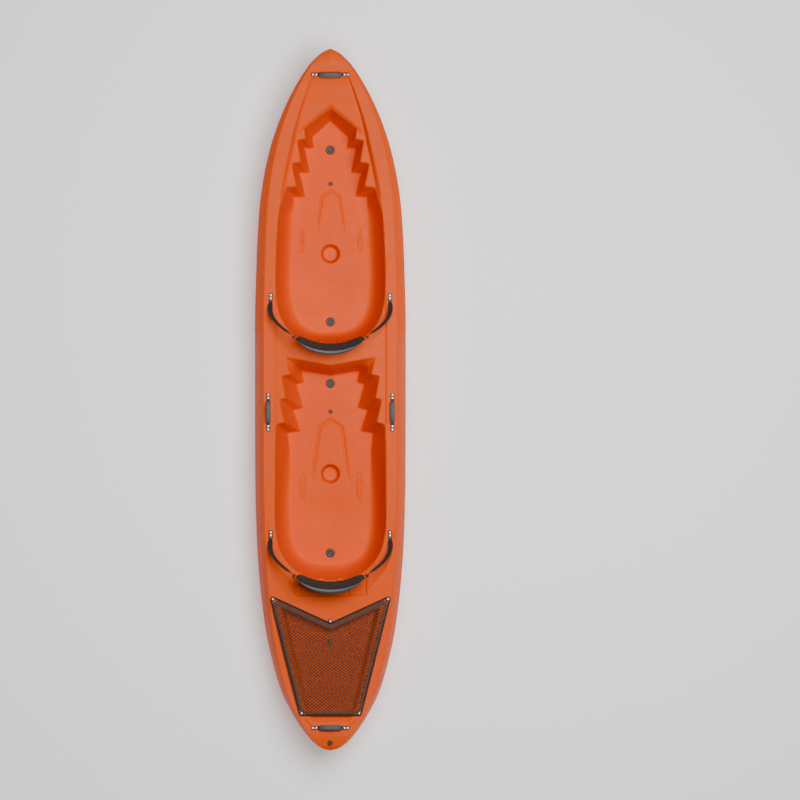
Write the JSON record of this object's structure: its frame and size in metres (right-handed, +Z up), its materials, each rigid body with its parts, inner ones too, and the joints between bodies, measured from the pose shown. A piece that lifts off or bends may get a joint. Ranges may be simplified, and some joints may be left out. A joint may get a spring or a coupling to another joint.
{
  "type": "tandem sit-on-top kayak",
  "caption": "Sit-on-top kayak for paddlers in a row: hollow moulded hull with open seat wells, folding backrests, carry handles, scupper and drain plugs and a cargo net.",
  "frame": {"origin": "on the floor under the middle of the hull's length and beam", "axes": "+X towards the bow, +Y to port, +Z up"},
  "size_m": [3.7, 0.8, 0.5088],
  "materials": {
    "hull_moulding": "satin rotationally moulded polyethylene, orange",
    "plug_rubber": "matt black rubber",
    "grip_rubber": "satin black rubber",
    "hard_plastic": "black nylon, with stainless steel screw heads",
    "webbing": "woven polypropylene webbing, black",
    "back_shell": "satin dark grey moulded plastic",
    "pad_fabric": "black woven polyester over foam",
    "bungee_cord": "black braided shock cord",
    "net_cord": "black knitted mesh"
  },
  "bodies": {
    "root": {"hull_shell": "hull_moulding", "drain_socket": "hard_plastic", "bow_handle_cap_a": "hard_plastic", "bow_handle_cap_b": "hard_plastic", "stern_handle_cap_a": "hard_plastic", "stern_handle_cap_b": "hard_plastic", "port_handle_cap_a": "hard_plastic", "port_handle_cap_b": "hard_plastic", "starboard_handle_cap_a": "hard_plastic", "starboard_handle_cap_b": "hard_plastic", "front_pad_eye_port": "hard_plastic", "front_strap_port": "webbing", "front_pad_eye_starboard": "hard_plastic", "front_strap_starboard": "webbing", "rear_pad_eye_port": "hard_plastic", "rear_strap_port": "webbing", "rear_pad_eye_starboard": "hard_plastic", "rear_strap_starboard": "webbing", "net_anchor_centre": "hard_plastic", "net_anchor_port_front": "hard_plastic", "net_anchor_port_rear": "hard_plastic", "net_anchor_starboard_front": "hard_plastic", "net_anchor_starboard_rear": "hard_plastic", "net_bungee": "bungee_cord", "cargo_net": "net_cord", "net_hook": "hard_plastic"},
    "scupper_plug_front_toe": {"scupper_plug_front_toe": "plug_rubber"},
    "scupper_plug_front_seat": {"scupper_plug_front_seat": "plug_rubber"},
    "scupper_plug_rear_toe": {"scupper_plug_rear_toe": "plug_rubber"},
    "scupper_plug_rear_seat": {"scupper_plug_rear_seat": "plug_rubber"},
    "scupper_plug_front_floor": {"scupper_plug_front_floor": "plug_rubber"},
    "scupper_plug_rear_floor": {"scupper_plug_rear_floor": "plug_rubber"},
    "drain_plug": {"drain_plug": "hard_plastic", "drain_seal": "plug_rubber"},
    "bow_handle": {"bow_handle_grip": "grip_rubber", "bow_handle_strap": "webbing"},
    "stern_handle": {"stern_handle_grip": "grip_rubber", "stern_handle_strap": "webbing"},
    "port_handle": {"port_handle_grip": "grip_rubber", "port_handle_strap": "webbing"},
    "starboard_handle": {"starboard_handle_grip": "grip_rubber", "starboard_handle_strap": "webbing"},
    "front_backrest": {"front_backrest_shell": "back_shell", "front_backrest_pad": "pad_fabric", "front_strap_buckle_port": "hard_plastic", "front_strap_buckle_starboard": "hard_plastic"},
    "rear_backrest": {"rear_backrest_shell": "back_shell", "rear_backrest_pad": "pad_fabric", "rear_strap_buckle_port": "hard_plastic", "rear_strap_buckle_starboard": "hard_plastic"}
  },
  "joints": [
    {"name": "scupper_plug_front_toe_pull", "type": "slide", "parent": "root", "child": "scupper_plug_front_toe", "axis": [0, 0, 1], "range_m": [0, 0.06]},
    {"name": "scupper_plug_front_seat_pull", "type": "slide", "parent": "root", "child": "scupper_plug_front_seat", "axis": [0, 0, 1], "range_m": [0, 0.06]},
    {"name": "scupper_plug_rear_toe_pull", "type": "slide", "parent": "root", "child": "scupper_plug_rear_toe", "axis": [0, 0, 1], "range_m": [0, 0.06]},
    {"name": "scupper_plug_rear_seat_pull", "type": "slide", "parent": "root", "child": "scupper_plug_rear_seat", "axis": [0, 0, 1], "range_m": [0, 0.06]},
    {"name": "scupper_plug_front_floor_pull", "type": "slide", "parent": "root", "child": "scupper_plug_front_floor", "axis": [0, 0, 1], "range_m": [0, 0.04]},
    {"name": "scupper_plug_rear_floor_pull", "type": "slide", "parent": "root", "child": "scupper_plug_rear_floor", "axis": [0, 0, 1], "range_m": [0, 0.04]},
    {"name": "drain_plug_turn", "type": "hinge", "parent": "root", "child": "drain_plug", "pos_m": [-1.806, 0, 0.35192], "axis": [0, 0, 1], "continuous": true},
    {"name": "bow_handle_swing", "type": "hinge", "parent": "root", "child": "bow_handle", "pos_m": [1.71263, 0, 0.40766], "axis": [0, 1, 0], "range_deg": [-30, 30]},
    {"name": "stern_handle_swing", "type": "hinge", "parent": "root", "child": "stern_handle", "pos_m": [-1.72928, 0, 0.35881], "axis": [0, 1, 0], "range_deg": [-30, 30]},
    {"name": "port_handle_swing", "type": "hinge", "parent": "root", "child": "port_handle", "pos_m": [-0.064, 0.328, 0.332], "axis": [1, 0, 0], "range_deg": [-30, 30]},
    {"name": "starboard_handle_swing", "type": "hinge", "parent": "root", "child": "starboard_handle", "pos_m": [-0.064, -0.328, 0.332], "axis": [1, 0, 0], "range_deg": [-30, 30]},
    {"name": "front_backrest_fold", "type": "hinge", "parent": "root", "child": "front_backrest", "pos_m": [0.287, 0, 0.331], "axis": [0, 1, 0], "range_deg": [0, 48]},
    {"name": "rear_backrest_fold", "type": "hinge", "parent": "root", "child": "rear_backrest", "pos_m": [-0.966, 0, 0.331], "axis": [0, 1, 0], "range_deg": [0, 48]}
  ]
}
